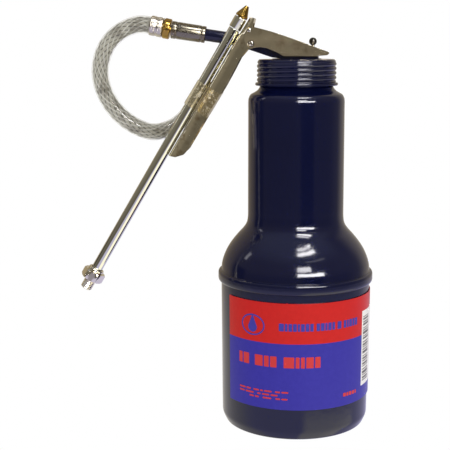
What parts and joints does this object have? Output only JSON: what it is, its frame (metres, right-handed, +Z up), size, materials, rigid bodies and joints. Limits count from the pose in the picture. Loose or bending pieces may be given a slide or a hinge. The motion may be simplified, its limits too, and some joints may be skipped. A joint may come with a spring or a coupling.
{
  "type": "pump oiler can",
  "caption": "Tall steel oil can with a screw cap, a hand pump worked by a bell-crank lever, a swivelling flexible spout and a spare rigid spout taped along the lever.",
  "frame": {"origin": "centre of the can's flat base on the ground", "axes": "+Z up along the can's axis; the lever and spouts hang towards -X; -Y is the side the label faces"},
  "size_m": [0.1461, 0.0768, 0.2065],
  "materials": {
    "navy_paint": "gloss dark navy enamel over steel",
    "nickel_plate": "bright nickel plate, slightly warm",
    "bright_steel": "bright steel",
    "brass": "turned brass",
    "black_rubber": "oil-resistant rubber",
    "clear_vinyl": "clear vinyl tubing",
    "wire_braid": "woven reinforcement",
    "printed_film": "printed wrap label, red over blue",
    "clear_tape": "clear adhesive tape"
  },
  "bodies": {
    "can": {"can_body": "navy_paint", "can_shoulder": "navy_paint", "front_label": "printed_film"},
    "pump_head": {"pump_body": "navy_paint", "cap_gasket": "black_rubber", "outlet_tube": "navy_paint", "outlet_spring": "bright_steel", "pivot_pin_near": "bright_steel", "pivot_pin_far": "bright_steel", "rod_packing": "black_rubber", "gland_nut": "brass", "pump_barrel": "bright_steel", "foot_valve_body": "brass", "suction_tube": "bright_steel", "suction_strainer": "brass", "return_spring": "bright_steel"},
    "cap": {"screw_cap": "navy_paint"},
    "lever": {"trigger_lever": "nickel_plate", "lift_arm": "nickel_plate", "lever_cross_pin": "bright_steel", "spout_adapter": "nickel_plate", "spout_tube": "nickel_plate", "spout_ferrule": "nickel_plate", "spout_tip": "brass", "spout_strap": "clear_tape"},
    "piston": {"piston_rod": "bright_steel", "piston_head": "brass", "piston_seal": "black_rubber", "piston_seat_screw": "brass"},
    "piston_check": {"piston_ball": "bright_steel"},
    "foot_check": {"foot_valve_ball": "bright_steel"},
    "outlet_check": {"outlet_ball": "bright_steel"},
    "flex_spout": {"hose_coupling": "nickel_plate", "coupling_ring": "brass", "hose_barb": "brass", "hose_inlet_ferrule": "bright_steel", "hose_jacket": "clear_vinyl", "hose_braid": "wire_braid", "hose_liner": "clear_vinyl", "hose_outlet_ferrule": "bright_steel", "hose_nozzle": "brass"}
  },
  "joints": [
    {"name": "head_lift", "type": "slide", "parent": "can", "child": "pump_head", "axis": [0, 0, 1], "range_m": [0, 0.0077]},
    {"name": "cap_turn", "type": "hinge", "parent": "pump_head", "child": "cap", "pos_m": [0, 0, 0.1745], "axis": [0, 0, 1], "range_deg": [0, 1260]},
    {"name": "lever_squeeze", "type": "hinge", "parent": "pump_head", "child": "lever", "pos_m": [-0.0217, 0, 0.1884], "axis": [0, -1, 0], "range_deg": [0, 20], "stiffness_Nm_per_rad": 0.35, "springref_deg": -34.38},
    {"name": "piston_lift", "type": "slide", "parent": "pump_head", "child": "piston", "axis": [0, 0, 1], "range_m": [0, 0.0104], "deforming": ["return_spring"]},
    {"name": "hose_turn", "type": "hinge", "parent": "pump_head", "child": "flex_spout", "pos_m": [-0.05135, 0, 0.19374], "axis": [0.9885, 0, -0.1513], "range_deg": [0, 90]},
    {"name": "piston_ball_lift", "type": "slide", "parent": "piston", "child": "piston_check", "axis": [0, 0, 1], "range_m": [0, 0.001]},
    {"name": "foot_ball_lift", "type": "slide", "parent": "pump_head", "child": "foot_check", "axis": [0, 0, 1], "range_m": [0, 0.0012]},
    {"name": "outlet_ball_lift", "type": "slide", "parent": "pump_head", "child": "outlet_check", "axis": [-0.9885, 0, 0.1513], "range_m": [0, 0.0006], "stiffness_N_per_m": 30, "springref_m": -0.001}
  ],
  "couplings": [
    {"joint": "cap_turn", "follows": "head_lift", "rad_per_m": 2856},
    {"joint": "piston_lift", "follows": "lever_squeeze", "m_per_rad": 0.0292}
  ]
}
